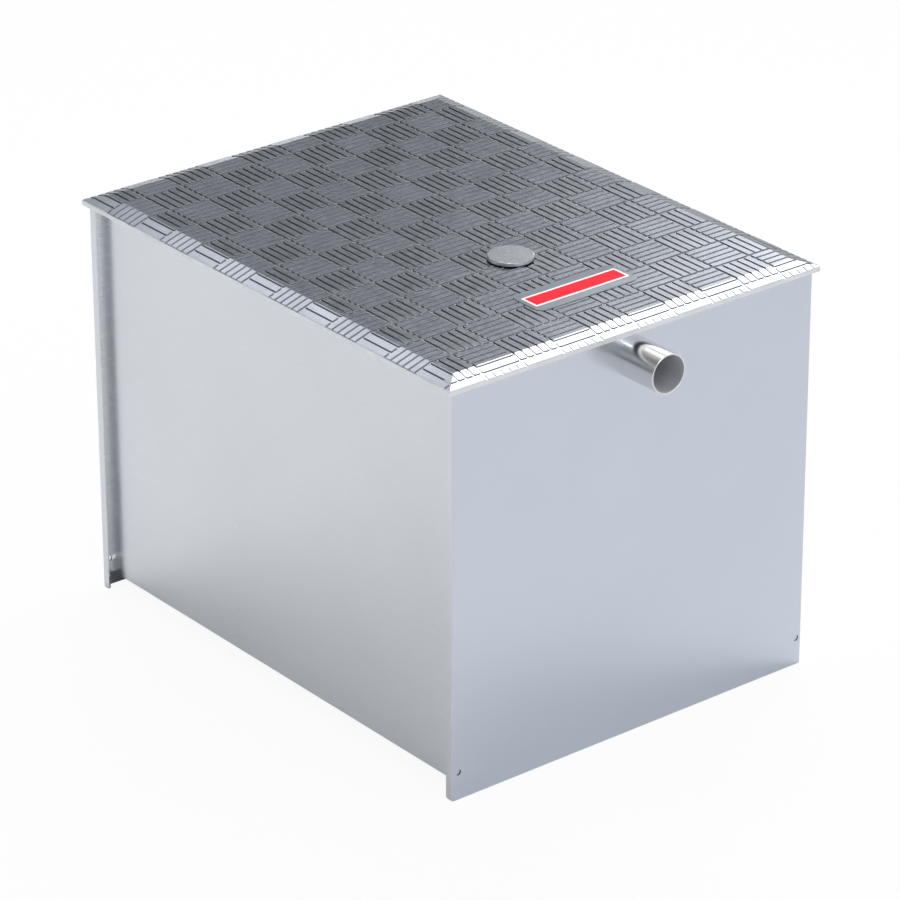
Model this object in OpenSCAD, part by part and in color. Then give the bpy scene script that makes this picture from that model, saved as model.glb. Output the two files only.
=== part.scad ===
// Under-sink grease trap: a folded stainless tank between two end panels that
// run down as feet, under a tread-plate lid held by one flat turn knob.
// Millimetres, +X towards the inlet end, +Z up, origin on the floor at the middle.

/* [Tank] */
// Length of the tank over its two end panels
tank_l = 537; // [500:1:600]
// Width of the end panels
panel_w = 415; // [390:1:460]
// Height of the seat that carries the lid
seat_z = 399.5; // [390:0.5:430]
// Thickness of the tank's sheet
sheet = 1.5; // [1.2:0.1:2]
// Height of the tank's floor above the ground
floor_gap = 13; // [8:0.5:25]
// Width of the flange that is folded in as the lid's seat
seat_w = 28; // [26:0.5:32]
// Outside radius of the folds
bend_r = 2.5; // [2.1:0.1:4]
// Gap left for the weld where two flanges meet
weld_gap = 0.2; // [0.1:0.05:0.4]

/* [End panels] */
// How far each end panel stands out past the side walls
panel_margin = 9.5; // [8.5:0.1:14]
// Depth of the lips folded back along the panels' sides
lip_depth = 9.5; // [8:0.1:16]
// Radius of the lips' lower corners
lip_corner_r = 2; // [1:0.5:6]
// Diameter of the fixing holes near the feet
foot_hole_d = 6; // [4:0.1:6.2]
// Height of the fixing holes
foot_hole_z = 27.5; // [20:0.5:40]
// Distance from a fixing hole to the panel's edge
foot_hole_inset = 6.4; // [5.8:0.1:7]

/* [Pipes] */
// Outside diameter of the pipe stubs
pipe_d = 38.1; // [32:0.1:42]
// Wall of the pipe stubs
pipe_wall = 1.5; // [1.2:0.1:2.5]
// How far the stubs stand out of the end panels
pipe_out = 42.5; // [30:0.5:60]
// Depth of the inlet's centre below the lid's seat
inlet_depth = 29; // [26:0.5:32]
// Fall from the inlet's centre to the outlet's centre
pipe_fall = 25; // [10:1:40]
// Extra radius of the hole in the panel behind a stub
pipe_hole_play = 0.4; // [0.2:0.1:0.8]

/* [Lid] */
// Thickness of the lid's sheet under its bars
lid_sheet = 2; // [1.5:0.1:3]
// Overhang of the lid past each end panel
lid_overhang_end = 4.2; // [3:0.1:7]
// Overhang of the lid past the panels' sides
lid_overhang_side = 5; // [3:0.1:8]
// Width of the rim that slopes down round the lid
rim_w = 18; // [15:0.5:20]
// Fall of the sloping rim
rim_drop = 5.5; // [3:0.1:5.5]
// Height of the edge turned straight down below the rim
skirt_h = 2; // [1.5:0.1:3]
// Thickness of the seal between the seat and the lid
gasket_h = 5; // [4.6:0.1:7]
// Width of the seal
gasket_w = 10; // [6:0.5:11]
// Distance from the seal to the lid's fold
gasket_inset = 2; // [1:0.1:3]

/* [Tread] */
// Length of one tread cell along the lid
cell_x = 41.4; // [30:0.1:60]
// Length of one tread cell across the lid
cell_y = 42.7; // [30:0.1:60]
// Distance from the lid's middle to the nearest cell seam
seam_x = 16.7; // [0:0.1:20]
// Number of parallel bars in a cell
cell_bars = 5; // [3:1:6]
// Height of the bars above the sheet
bar_h = 1; // [0.6:0.1:2]
// Gap between neighbouring bars
bar_gap = 2.4; // [1.5:0.1:4]
// Gap between the ends of the bars and the next cell
bar_end_gap = 3; // [1.5:0.1:6]

/* [Knob and clamp] */
// Diameter of the flat turn knob
knob_d = 43; // [40:1:60]
// Height of the knob
knob_h = 3; // [2.6:0.1:6]
// Radius of the knob's upper edge
knob_edge_r = 0.8; // [0.4:0.1:1.2]
// Distance of the knob from the inlet end of the tank
knob_from_inlet = 174; // [172:0.5:182]
// Running gap under the knob
knob_gap = 0.3; // [0.2:0.05:0.5]
// Diameter of the stud
stud_d = 10; // [8:0.1:11]
// Depth of the stud's seat in the knob
stud_seat = 1.8; // [1.2:0.1:2]
// Radial play of the stud in its nut
stud_play = 0.08; // [0.05:0.01:0.1]
// Radial clearance of the stud in the lid, the seal washer and the bar
stud_clear = 0.5; // [0.3:0.1:1]
// Length of stud that stands out below the nut
stud_tail = 4; // [1:0.5:8]
// Diameter of the seal washer under the knob
washer_d = 30; // [26:1:38]
// Thickness of the seal washer
washer_h = 0.8; // [0.6:0.1:2]
// Diameter of the clip that keeps the stud in the lid
clip_d = 17; // [15:0.5:20]
// Thickness of the clip
clip_h = 1; // [0.8:0.1:1.5]
// Gap between the clip and the lid
clip_gap = 0.5; // [0.3:0.1:1]
// Depth of the clip's groove
clip_groove = 0.8; // [0.5:0.1:1.2]
// Width of the clamp bar
clamp_w = 30; // [26:1:32]
// Thickness of the clamp bar
clamp_h = 5; // [4:0.5:6]
// Depth of the clamp bar's top below the lid's seat
clamp_depth = 12; // [11:0.5:16]
// Sheet of the brackets that hold the clamp bar
bracket_sheet = 2; // [1.5:0.1:3]
// Reach of the brackets from the side walls
bracket_reach = 25; // [20:1:35]
// Extra length of the brackets past the clamp bar
bracket_spare = 14; // [8:1:16]
// Gap below the clamp bar in its brackets
bracket_gap = 0.5; // [0.3:0.1:1]
// Gap between the clamp bar's ends and the brackets
clamp_end_gap = 1; // [0.5:0.1:3]
// Width of the nut across its flats
nut_flats = 17; // [16:0.5:20]
// Height of the nut
nut_h = 8; // [6:0.5:10]

/* [Basket] */
// Length of the basket along the tank
basket_l = 156; // [140:1:164]
// Gap between the basket and the inlet panel
basket_gap = 10; // [6:0.5:14]
// Depth of the basket
basket_h = 190; // [150:1:230]
// Depth of the basket's rim below the lid's seat
basket_depth = 59.5; // [56:0.5:70]
// Sheet of the basket
basket_sheet = 1.2; // [1:0.1:1.5]
// Width of the lip that carries the basket's floor
basket_lip = 10; // [6:0.5:12]
// Gap round the basket's floor
basket_floor_gap = 0.3; // [0.2:0.05:0.5]
// Diameter of the holes in the basket's floor
drain_d = 9; // [6:0.5:11]
// Spacing of the holes in the basket's floor
drain_pitch = 24; // [18:1:30]
// Gap between the basket and its rails
rail_gap = 2.5; // [1:0.1:4]
// Width of the rails
rail_w = 22; // [18:0.5:26]
// Height of the rails
rail_h = 26; // [18:1:36]
// Sheet of the rails
rail_sheet = 2; // [1.5:0.1:3]
// Gap between the basket's rim and the side walls
basket_rim_gap = 5.5; // [3:0.1:6]

/* [Bail] */
// Diameter of the bail's wire
bail_d = 6; // [5:0.1:6.4]
// Length of the bail from its pivot
bail_reach = 42; // [34:0.5:44]
// Radius of the bail's corners
bail_bend = 15; // [10:0.5:18]
// Radial play of the bail in its ears
bail_play = 0.1; // [0.05:0.01:0.1]
// Thickness of the ears
ear_t = 3; // [2:0.1:3.5]
// Gap between the ears and the basket's inside
ear_inset = 2; // [1.5:0.1:2.5]
// Metal left round the ears' holes
ear_wall = 3; // [2:0.1:4]
// Gap between the ears and the bail's arms
arm_gap = 1.6; // [0.6:0.1:2]
// Length of the bail's pins past the ears
pin_tail = 3; // [1:0.1:4]

/* [Baffles] */
// Distance of the underflow baffle from the inlet panel
baffle_from_inlet = 212; // [206:1:230]
// Height of the flow gap under the baffle
underflow_h = 95; // [60:1:140]
// Depth of the baffle's top below the lid's seat
baffle_depth = 24; // [22:0.5:40]
// Width of the fold along the baffle's top
baffle_fold = 12; // [8:0.5:20]
// Depth of the guides that hold the baffle
guide_depth = 12; // [8:0.5:16]
// Play of the baffle in its guides
guide_play = 0.5; // [0.3:0.1:1]
// Height of the stops at the guides' feet
guide_stop = 3; // [2:0.5:6]
// Distance of the overflow weir from the outlet panel
weir_from_outlet = 172; // [140:1:200]
// Height of the overflow weir
weir_h = 285; // [220:1:310]
// Width of the weir's foot
weir_foot = 20; // [12:0.5:30]
// Width of the hood over the outlet
hood_w = 90; // [70:1:120]
// Depth of the hood over the outlet
hood_depth = 50; // [40:1:70]
// Height of the hood's mouth above the floor
hood_mouth = 75; // [50:1:120]
// Depth of the hood's top below the lid's seat
hood_top_depth = 14; // [6:0.5:20]

/* [Label] */
// Length of the label across the lid
label_l = 108; // [90:1:140]
// Width of the label
label_w = 22; // [20:1:34]
// Distance of the label from the inlet end of the tank
label_from_inlet = 86.5; // [80:0.5:104]
// Place of the label across the lid, from the middle
label_y = 2.5; // [0:0.5:20]
// Margin of the backing past the label's ends
backing_end = 4; // [2:0.5:8]
// Margin of the backing past the label's long sides
backing_side = 10; // [5:0.5:12]
// Radius of the backing's corners
backing_r = 8; // [4:0.5:12]
// Thickness of the backing
backing_h = 0.6; // [0.4:0.1:1]
// Thickness of the label
label_h = 0.3; // [0.2:0.1:0.6]

/* [Hidden] */

// Length of the cutting tools past the faces that they cut
cut = 1;
half_l = tank_l / 2;
half_w = panel_w / 2;
wall_y = half_w - panel_margin;
inner_x = half_l - sheet;
inner_y = wall_y - sheet;
floor_top = floor_gap + sheet;
bend_in = bend_r - sheet;
seat_under = seat_z - sheet;
seat_x = half_l - seat_w;
seat_y = wall_y - seat_w;

inlet_z = seat_z - inlet_depth;
outlet_z = inlet_z - pipe_fall;
pipe_r = pipe_d / 2;
pipe_bore_r = pipe_r - pipe_wall;
pipe_hole_r = pipe_bore_r + pipe_hole_play;

lid_l = tank_l + 2 * lid_overhang_end;
lid_w = panel_w + 2 * lid_overhang_side;
lid_under = seat_z + gasket_h;
lid_top = lid_under + lid_sheet;
tread_top = lid_top + bar_h;
gasket_x = lid_l / 2 - rim_w - gasket_inset;
gasket_y = lid_w / 2 - rim_w - gasket_inset;

knob_x = half_l - knob_from_inlet;
stud_r = stud_d / 2;
knob_under = tread_top + washer_h + knob_gap;
stud_top = knob_under + stud_seat;
clip_top = lid_under - clip_gap;
clamp_top = seat_z - clamp_depth;
clamp_under = clamp_top - clamp_h;
clamp_half = inner_y - bracket_sheet - clamp_end_gap;
nut_under = clamp_under - nut_h;
stud_under = nut_under - stud_tail;

basket_x1 = inner_x - basket_gap;
basket_x0 = basket_x1 - basket_l;
basket_mid = (basket_x0 + basket_x1) / 2;
basket_y = inner_y - rail_w - rail_gap;
basket_rim_y = inner_y - basket_rim_gap;
basket_top = seat_z - basket_depth;
basket_under = basket_top - basket_h;
rail_top = basket_top - basket_sheet;
drain_nx = floor((basket_l - 2 * basket_lip - drain_pitch) / drain_pitch);
drain_ny = floor((2 * basket_y - 2 * basket_lip - drain_pitch) / drain_pitch);

bail_r = bail_d / 2;
ear_y = basket_y + ear_inset;
arm_y = ear_y + ear_t + arm_gap + bail_r;
ear_hole_r = bail_r + bail_play;
pivot_z = basket_top + ear_wall + ear_hole_r;

baffle_x = inner_x - baffle_from_inlet;
baffle_under = floor_top + underflow_h;
baffle_top = seat_z - baffle_depth;
weir_x = -inner_x + weir_from_outlet;
hood_top = seat_z - hood_top_depth;
hood_under = floor_top + hood_mouth;

label_x = half_l - label_from_inlet;
label_z = tread_top + backing_h;

// Round tools take this many sides
$fn = 96;

// A rectangle from one corner to another
module rect(x0, y0, x1, y1) {
  translate([x0, y0])
    square([x1 - x0, y1 - y0]);
}

// A rectangle with four round corners
module round_rect(x0, y0, x1, y1, r) {
  rect(x0 + r, y0, x1 - r, y1);
  rect(x0, y0 + r, x1, y1 - r);
  for (x = [x0 + r, x1 - r], y = [y0 + r, y1 - r])
    translate([x, y])
      circle(r);
}

// A block from one corner to another
module block(from, to) {
  translate(from)
    cube(to - from);
}

// Both sides of what lies at +Y
module both_sides() {
  children();
  mirror([0, 1, 0])
    children();
}

// A profile drawn in Y and Z, run along X from x0 to x1
module along_x(x0, x1) {
  translate([x0, 0, 0])
    rotate([90, 0, 90])
      linear_extrude(height = x1 - x0)
        children();
}

// A profile drawn in X and Z, run across Y and centred on it
module across_y(width) {
  rotate([90, 0, 0])
    linear_extrude(height = width, center = true)
      children();
}

// One end panel at +X: a shallow pan with side lips, a seat flange, a pipe hole and fixing holes
module end_panel(pipe_z) {
  difference() {
    union() {
      linear_extrude(height = seat_z)
        difference() {
          round_rect(half_l - 2 * lip_depth, -half_w, half_l, half_w, bend_r);
          round_rect(-half_l, -half_w + sheet, half_l - sheet, half_w - sheet, bend_in);
          rect(-half_l, -half_w - cut, half_l - lip_depth, half_w + cut);
        }
      block([seat_x, -inner_y + weld_gap, seat_under], [half_l - sheet / 2, inner_y - weld_gap, seat_z]);
    }
    across_y(panel_w + 2 * cut)
      difference() {
        rect(half_l - lip_depth - cut, -cut, half_l - lip_depth + lip_corner_r, lip_corner_r);
        translate([half_l - lip_depth + lip_corner_r, lip_corner_r])
          circle(lip_corner_r);
      }
    translate([half_l - sheet - cut, 0, pipe_z])
      rotate([0, 90, 0])
        cylinder(r = pipe_hole_r, h = sheet + 2 * cut);
    for (y = [-1, 1] * (half_w - foot_hole_inset))
      translate([half_l - sheet - cut, y, foot_hole_z])
        rotate([0, 90, 0])
          cylinder(d = foot_hole_d, h = sheet + 2 * cut);
  }
}

// One plain pipe stub at +X, set on the end panel's outer face
module pipe_stub(pipe_z) {
  translate([half_l, 0, pipe_z])
    rotate([0, 90, 0])
      difference() {
        cylinder(r = pipe_r, h = pipe_out);
        translate([0, 0, -cut])
          cylinder(r = pipe_bore_r, h = pipe_out + 2 * cut);
      }
}

module inlet_end_panel() {
  color("lightsteelblue")
    end_panel(inlet_z);
}

module outlet_end_panel() {
  color("lightsteelblue")
    mirror([1, 0, 0])
      end_panel(outlet_z);
}

// Floor and both side walls in one folded sheet, with the seat flanges notched at the corners
module tank_wrap() {
  color("silver")
    difference() {
      along_x(-inner_x, inner_x)
        difference() {
          round_rect(-wall_y, floor_gap, wall_y, seat_z, bend_r);
          round_rect(-inner_y, floor_top, inner_y, seat_under, bend_in);
          rect(-seat_y, seat_under - cut, seat_y, seat_z + cut);
        }
      for (side = [0, 1])
        mirror([side, 0, 0])
          block([seat_x - weld_gap, -inner_y, seat_z - bend_r], [half_l + cut, inner_y, seat_z + cut]);
    }
}

module inlet_stub() {
  color("gainsboro")
    pipe_stub(inlet_z);
}

module outlet_stub() {
  color("gainsboro")
    mirror([1, 0, 0])
      pipe_stub(outlet_z);
}

// Outline of a hipped sheet's section: flat in the middle, sloping over the rim
function hip_section(length, top, under) = [
  [-length / 2, under], [length / 2, under], [length / 2, top - rim_drop],
  [length / 2 - rim_w, top], [-length / 2 + rim_w, top], [-length / 2, top - rim_drop]];

// A hipped block: the same section along both directions of the lid
module hipped_block(top, under) {
  intersection() {
    across_y(lid_w)
      polygon(hip_section(lid_l, top, under));
    along_x(-lid_l / 2, lid_l / 2)
      polygon(hip_section(lid_w, top, under));
  }
}

// The hollow under a hipped sheet, open past the lid's edges
module hip_hollow(top) {
  slope = rim_drop / rim_w;
  spare = rim_w;
  under = top - 4 * rim_drop;
  function section(length) = [
    [-length / 2 - spare, under], [length / 2 + spare, under],
    [length / 2 + spare, top - rim_drop - spare * slope], [length / 2 - rim_w, top],
    [-length / 2 + rim_w, top], [-length / 2 - spare, top - rim_drop - spare * slope]];
  intersection() {
    across_y(lid_w + 2 * spare)
      polygon(section(lid_l));
    along_x(-lid_l / 2 - spare, lid_l / 2 + spare)
      polygon(section(lid_w));
  }
}

// The short edge turned down all round the rim
module lid_skirt(edge_under) {
  translate([0, 0, edge_under - skirt_h])
    linear_extrude(height = skirt_h + lid_sheet / 2)
      difference() {
        square([lid_l, lid_w], center = true);
        square([lid_l - 2 * lid_sheet, lid_w - 2 * lid_sheet], center = true);
      }
}

// One cell of parallel bars, drawn about its own middle with the bars along X
module bar_cell(length, width) {
  pitch = width / cell_bars;
  for (k = [0 : cell_bars - 1])
    translate([0, (k + 0.5) * pitch - width / 2])
      square([length - bar_end_gap, pitch - bar_gap], center = true);
}

// Cells whose bars run along the lid and across it by turns, like a draughtboard
module tread_cells() {
  first_i = floor((-lid_l / 2 - seam_x) / cell_x);
  last_i = floor((lid_l / 2 - seam_x) / cell_x);
  last_j = floor(lid_w / 2 / cell_y);
  for (i = [first_i : last_i], j = [-last_j - 1 : last_j])
    translate([seam_x + (i + 0.5) * cell_x, (j + 0.5) * cell_y])
      if ((i + j) % 2 == 0)
        bar_cell(cell_x, cell_y);
      else
        rotate(90)
          bar_cell(cell_y, cell_x);
}

// Five-bar tread plate: all four edges slope down, mitred at the corners, and end in a short skirt
module lid_plate() {
  edge_under = lid_under - rim_drop;
  color("slategray")
    difference() {
      union() {
        difference() {
          hipped_block(lid_top, edge_under);
          hip_hollow(lid_under);
        }
        lid_skirt(edge_under);
        intersection() {
          translate([0, 0, edge_under])
            linear_extrude(height = tread_top - edge_under + cut)
              tread_cells();
          difference() {
            hipped_block(tread_top, edge_under);
            hip_hollow(lid_under + lid_sheet / 2);
          }
        }
      }
      translate([knob_x, 0, lid_under - cut])
        cylinder(r = stud_r + stud_clear, h = lid_sheet + bar_h + 2 * cut);
    }
}

module lid_gasket() {
  color("dimgray")
    translate([0, 0, seat_z])
      linear_extrude(height = gasket_h)
        difference() {
          rect(-gasket_x, -gasket_y, gasket_x, gasket_y);
          rect(gasket_w - gasket_x, gasket_w - gasket_y, gasket_x - gasket_w, gasket_y - gasket_w);
        }
}

// Flat round knob with a rounded upper edge and a blind seat for its stud
module lid_knob() {
  knob_r = knob_d / 2;
  color("lightgray")
    translate([knob_x, 0, knob_under])
      difference() {
        rotate_extrude()
          union() {
            rect(0, 0, knob_r, knob_h - knob_edge_r);
            rect(0, 0, knob_r - knob_edge_r, knob_h);
            translate([knob_r - knob_edge_r, knob_h - knob_edge_r])
              intersection() {
                circle(knob_edge_r);
                square(knob_edge_r);
              }
          }
        translate([0, 0, -cut])
          cylinder(r = stud_r, h = stud_seat + cut);
      }
}

// Plain stud with a groove for its clip
module knob_stud() {
  color("silver")
    translate([knob_x, 0, 0])
      difference() {
        translate([0, 0, stud_under])
          cylinder(r = stud_r, h = stud_top - stud_under);
        translate([0, 0, clip_top - clip_h])
          difference() {
            cylinder(r = stud_r + cut, h = clip_h);
            cylinder(r = stud_r - clip_groove, h = clip_h);
          }
      }
}

module knob_washer() {
  color("black")
    translate([knob_x, 0, tread_top])
      difference() {
        cylinder(d = washer_d, h = washer_h);
        translate([0, 0, -cut])
          cylinder(r = stud_r + stud_clear, h = washer_h + 2 * cut);
      }
}

// Spring clip in the stud's groove, open at one side
module stud_clip() {
  slot = stud_d - 2 * clip_groove;
  color("gray")
    translate([knob_x, 0, clip_top - clip_h])
      linear_extrude(height = clip_h)
        difference() {
          circle(d = clip_d);
          circle(r = stud_r - clip_groove);
          rect(0, -slot / 2 * sin(60), clip_d, slot / 2 * sin(60));
        }
}

module clamp_bar() {
  color("silver")
    difference() {
      block([knob_x - clamp_w / 2, -clamp_half, clamp_under], [knob_x + clamp_w / 2, clamp_half, clamp_top]);
      translate([knob_x, 0, clamp_under - cut])
        cylinder(r = stud_r + stud_clear, h = clamp_h + 2 * cut);
    }
}

module clamp_nut() {
  color("silver")
    translate([knob_x, 0, nut_under])
      difference() {
        cylinder(d = nut_flats / cos(30), h = nut_h, $fn = 6);
        translate([0, 0, -cut])
          cylinder(r = stud_r + stud_play, h = nut_h + 2 * cut);
      }
}

// Two channels on the side walls that the clamp bar slides into
module bar_brackets() {
  length = clamp_w + bracket_spare;
  color("silver")
    both_sides()
      along_x(knob_x - length / 2, knob_x + length / 2)
        difference() {
          rect(inner_y - bracket_reach, clamp_under - bracket_gap - bracket_sheet,
               inner_y, clamp_top + bracket_sheet);
          rect(inner_y - bracket_reach - cut, clamp_under - bracket_gap,
               inner_y - bracket_sheet, clamp_top);
        }
}

// Four folded walls with side rims that hang on the rails and a lip that carries the floor
module basket_body() {
  color("lightgray") {
    difference() {
      block([basket_x0, -basket_y, basket_under], [basket_x1, basket_y, basket_top]);
      block([basket_x0 + basket_sheet, -basket_y + basket_sheet, basket_under + basket_sheet],
            [basket_x1 - basket_sheet, basket_y - basket_sheet, basket_top + cut]);
      block([basket_x0 + basket_lip, -basket_y + basket_lip, basket_under - cut],
            [basket_x1 - basket_lip, basket_y - basket_lip, basket_under + basket_sheet + cut]);
    }
    both_sides()
      block([basket_x0, basket_y - basket_sheet, basket_top - basket_sheet],
            [basket_x1, basket_rim_y, basket_top]);
  }
}

// Perforated plate that lies on the basket's lip
module basket_floor() {
  edge = basket_sheet + basket_floor_gap;
  plate_z = basket_under + basket_sheet;
  color("lightgray")
    translate([0, 0, plate_z])
      linear_extrude(height = basket_sheet)
        difference() {
          rect(basket_x0 + edge, -basket_y + edge, basket_x1 - edge, basket_y - edge);
          for (i = [0 : drain_nx], j = [0 : drain_ny])
            translate([basket_mid + (i - drain_nx / 2) * drain_pitch, (j - drain_ny / 2) * drain_pitch])
              circle(d = drain_d);
        }
}

// Bent wire handle, lying on the basket's side towards the baffle
module basket_bail() {
  corner_x = basket_mid - bail_reach + bail_bend;
  color("gainsboro") {
    both_sides() {
      translate([basket_mid, arm_y, pivot_z])
        rotate([90, 0, 0])
          cylinder(r = bail_r, h = arm_y - ear_y + pin_tail);
      translate([basket_mid, arm_y, pivot_z])
        sphere(bail_r);
      translate([corner_x, arm_y, pivot_z])
        rotate([0, 90, 0])
          cylinder(r = bail_r, h = basket_mid - corner_x);
      translate([corner_x, arm_y - bail_bend, pivot_z])
        rotate(90)
          rotate_extrude(angle = 90)
            translate([bail_bend, 0])
              circle(bail_r);
    }
    translate([basket_mid - bail_reach, 0, pivot_z])
      rotate([90, 0, 0])
        cylinder(r = bail_r, h = 2 * (arm_y - bail_bend), center = true);
  }
}

// Two round-topped lugs welded on the basket's side rims
module bail_ears() {
  ear_r = ear_hole_r + ear_wall;
  color("silver")
    both_sides()
      translate([0, ear_y + ear_t / 2, 0])
        across_y(ear_t)
          difference() {
            union() {
              translate([basket_mid, pivot_z])
                circle(ear_r);
              rect(basket_mid - ear_r, basket_top, basket_mid + ear_r, pivot_z);
            }
            translate([basket_mid, pivot_z])
              circle(ear_hole_r);
          }
}

// Two angles on the side walls that carry the basket's rims
module basket_rails() {
  color("silver")
    both_sides()
      along_x(basket_x0, basket_x1)
        difference() {
          rect(inner_y - rail_w, rail_top - rail_h, inner_y, rail_top);
          rect(inner_y - rail_w - cut, rail_top - rail_h - cut, inner_y - rail_sheet, rail_top - rail_sheet);
        }
}

// Lift-out plate that holds the floating grease back, folded along its top
module underflow_baffle() {
  baffle_y = inner_y - sheet - guide_play;
  fold_y = inner_y - guide_depth - guide_play;
  color("lightsteelblue") {
    block([baffle_x - sheet / 2, -baffle_y, baffle_under], [baffle_x + sheet / 2, baffle_y, baffle_top]);
    block([baffle_x - baffle_fold, -fold_y, baffle_top - sheet], [baffle_x, fold_y, baffle_top]);
  }
}

// Two folded channels on the side walls, closed by a stop at the foot
module baffle_guides() {
  slot = sheet / 2 + guide_play;
  color("silver")
    both_sides() {
      translate([0, 0, baffle_under])
        linear_extrude(height = baffle_top - baffle_under)
          difference() {
            rect(baffle_x - slot - sheet, inner_y - guide_depth, baffle_x + slot + sheet, inner_y);
            rect(baffle_x - slot, inner_y - guide_depth - cut, baffle_x + slot, inner_y - sheet);
          }
      block([baffle_x - slot - sheet, inner_y - guide_depth, baffle_under - guide_stop],
            [baffle_x + slot + sheet, inner_y, baffle_under]);
    }
}

// Fixed plate that the cleared water flows over, with a foot along the floor
module overflow_weir() {
  foot_y = inner_y - bend_r;
  color("lightsteelblue") {
    along_x(weir_x - sheet / 2, weir_x + sheet / 2)
      polygon([[-foot_y, floor_top], [foot_y, floor_top], [inner_y, floor_top + bend_r],
               [inner_y, floor_top + weir_h], [-inner_y, floor_top + weir_h],
               [-inner_y, floor_top + bend_r]]);
    block([weir_x - weir_foot, -foot_y, floor_top], [weir_x, foot_y, floor_top + sheet]);
  }
}

// Folded channel on the outlet panel, closed on top, that draws the water from low down
module outlet_hood() {
  face_x = -inner_x + hood_depth;
  color("lightsteelblue")
    difference() {
      block([-inner_x, -hood_w / 2, hood_under], [face_x, hood_w / 2, hood_top]);
      block([-inner_x - cut, -hood_w / 2 + sheet, hood_under - cut],
            [face_x - sheet, hood_w / 2 - sheet, hood_top - sheet]);
    }
}

// Pale margin under the label, lying on the tops of the bars
module label_backing() {
  half_x = label_w / 2 + backing_side;
  half_y = label_l / 2 + backing_end;
  color("lightslategray")
    translate([label_x, label_y, tread_top])
      linear_extrude(height = backing_h)
        round_rect(-half_x, -half_y, half_x, half_y, backing_r);
}

module label_face() {
  color("crimson")
    translate([label_x, label_y, label_z])
      linear_extrude(height = label_h)
        rect(-label_w / 2, -label_l / 2, label_w / 2, label_l / 2);
}

inlet_end_panel();
outlet_end_panel();
tank_wrap();
inlet_stub();
outlet_stub();
lid_plate();
lid_gasket();
lid_knob();
knob_stud();
knob_washer();
stud_clip();
clamp_bar();
clamp_nut();
bar_brackets();
basket_body();
basket_floor();
basket_bail();
bail_ears();
basket_rails();
underflow_baffle();
baffle_guides();
overflow_weir();
outlet_hood();
label_backing();
label_face();
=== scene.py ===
"""Grease trap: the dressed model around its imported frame, with a studio floor, light and camera.

Metres, in the frame of the part: +X towards the inlet end, +Z up, the origin on the floor.
"""
import math

import bpy
from mathutils import Matrix, Vector


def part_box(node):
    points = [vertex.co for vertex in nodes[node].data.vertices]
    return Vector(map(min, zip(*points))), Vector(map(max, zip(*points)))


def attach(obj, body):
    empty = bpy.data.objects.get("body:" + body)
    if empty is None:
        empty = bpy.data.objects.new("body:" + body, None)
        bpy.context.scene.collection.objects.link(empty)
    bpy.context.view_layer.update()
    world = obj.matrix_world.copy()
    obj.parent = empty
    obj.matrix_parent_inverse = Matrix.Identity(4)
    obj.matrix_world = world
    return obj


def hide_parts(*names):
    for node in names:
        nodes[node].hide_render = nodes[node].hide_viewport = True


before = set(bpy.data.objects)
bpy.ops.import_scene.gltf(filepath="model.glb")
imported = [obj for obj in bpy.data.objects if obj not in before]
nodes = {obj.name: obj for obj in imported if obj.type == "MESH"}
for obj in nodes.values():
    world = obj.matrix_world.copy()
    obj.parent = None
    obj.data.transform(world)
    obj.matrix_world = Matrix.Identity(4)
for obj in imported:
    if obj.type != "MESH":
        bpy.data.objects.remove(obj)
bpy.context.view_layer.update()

# Folded tank sheet
SHEET = 0.0015
FOLD_R = 0.0016
FOLD_STEPS = 4
LIP_DEPTH = 0.0095
LIP_CORNER_R = 0.002
LIP_CORNER_STEPS = 5
SEAT_W = 0.028
WELD_GAP = 0.0002
FOOT_HOLE_R = 0.003
FOOT_HOLE_SIDES = 32
FOOT_HOLE_Z = 0.0275
FOOT_HOLE_INSET = 0.0064
PUNCH_LENGTH = 4 * SHEET

# Pipe stubs
PIPE_WALL = 0.0015
PIPE_SIDES = 128
PIPE_HOLE_PLAY = 0.0004
PIPE_HOLE_SIDES = 96
MOUTH_EDGE = 0.0003
MOUTH_STEPS = 2

# Tread-plate lid
LID_SHEET = 0.002
RIM_W = 0.018
RIM_DROP = 0.0055
SKIRT_H = 0.004
LID_FOLD_R = 0.0018
LID_FOLD_STEPS = 3
BAR_H = 0.001
BAR_SINK = 0.0006
BAR_GAP = 0.0012
BAR_END_GAP = 0.0018
BAR_END_R = 0.0014
BAR_END_STEPS = 3
BAR_SLOPE = 0.0006
BAR_SLOPE_STEPS = 1
EDGE_BAND = 0.0008
# Width of the painted highlight along the lid's front edge
FRONT_HIGHLIGHT_BAND = 0.0025
TRIM_STEP = 0.0001
BARS_IN_CELL = 5
CELL_X = 0.0414
CELL_Y = 0.0427
SEAM_X = 0.0167
FIRST_COLUMN = -7
FIRST_ROW = -5
COLUMNS = 7
ROWS = 5

# Knob and its stud
KNOB_SIDES = 128
KNOB_EDGE_R = 0.0008
KNOB_EDGE_STEPS = 4
STUD_R = 0.005
STUD_SEAT = 0.0018
STUD_CLEAR = 0.0005
STUD_HOLE_SIDES = 48
STUD_DRILL_LENGTH = 0.02

# Label
FILM_CORNER_R = 0.008
FILM_CORNER_STEPS = 8
FILM_EDGE = 0.0002
FILM_EDGE_STEPS = 2
LABEL_CORNER_R = 0.0012
LABEL_CORNER_STEPS = 4
LABEL_BORDER = 0.0024

# Edges up to this many degrees are shaded smooth
SHEET_SHADING = 10
TREAD_SHADING = 12
LABEL_SHADING = 32

# How far a face points along an axis, from 0, edge on, to 1
DEAD_ON = 0.99
FACING = 0.9
MOSTLY = 0.7
HALFWAY = 0.5
STEEP = 0.35
EDGE_ON = 0.3

ALMOST = 1e-5
LAID_ALONG = (0, math.pi / 2, 0)


def take(*pieces):
    """Make these pieces the only ones that operators act on, the first one leading."""
    if bpy.context.mode != "OBJECT":
        bpy.ops.object.mode_set(mode="OBJECT")
    bpy.ops.object.select_all(action="DESELECT")
    for piece in pieces:
        piece.select_set(True)
    bpy.context.view_layer.objects.active = pieces[0]


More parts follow.
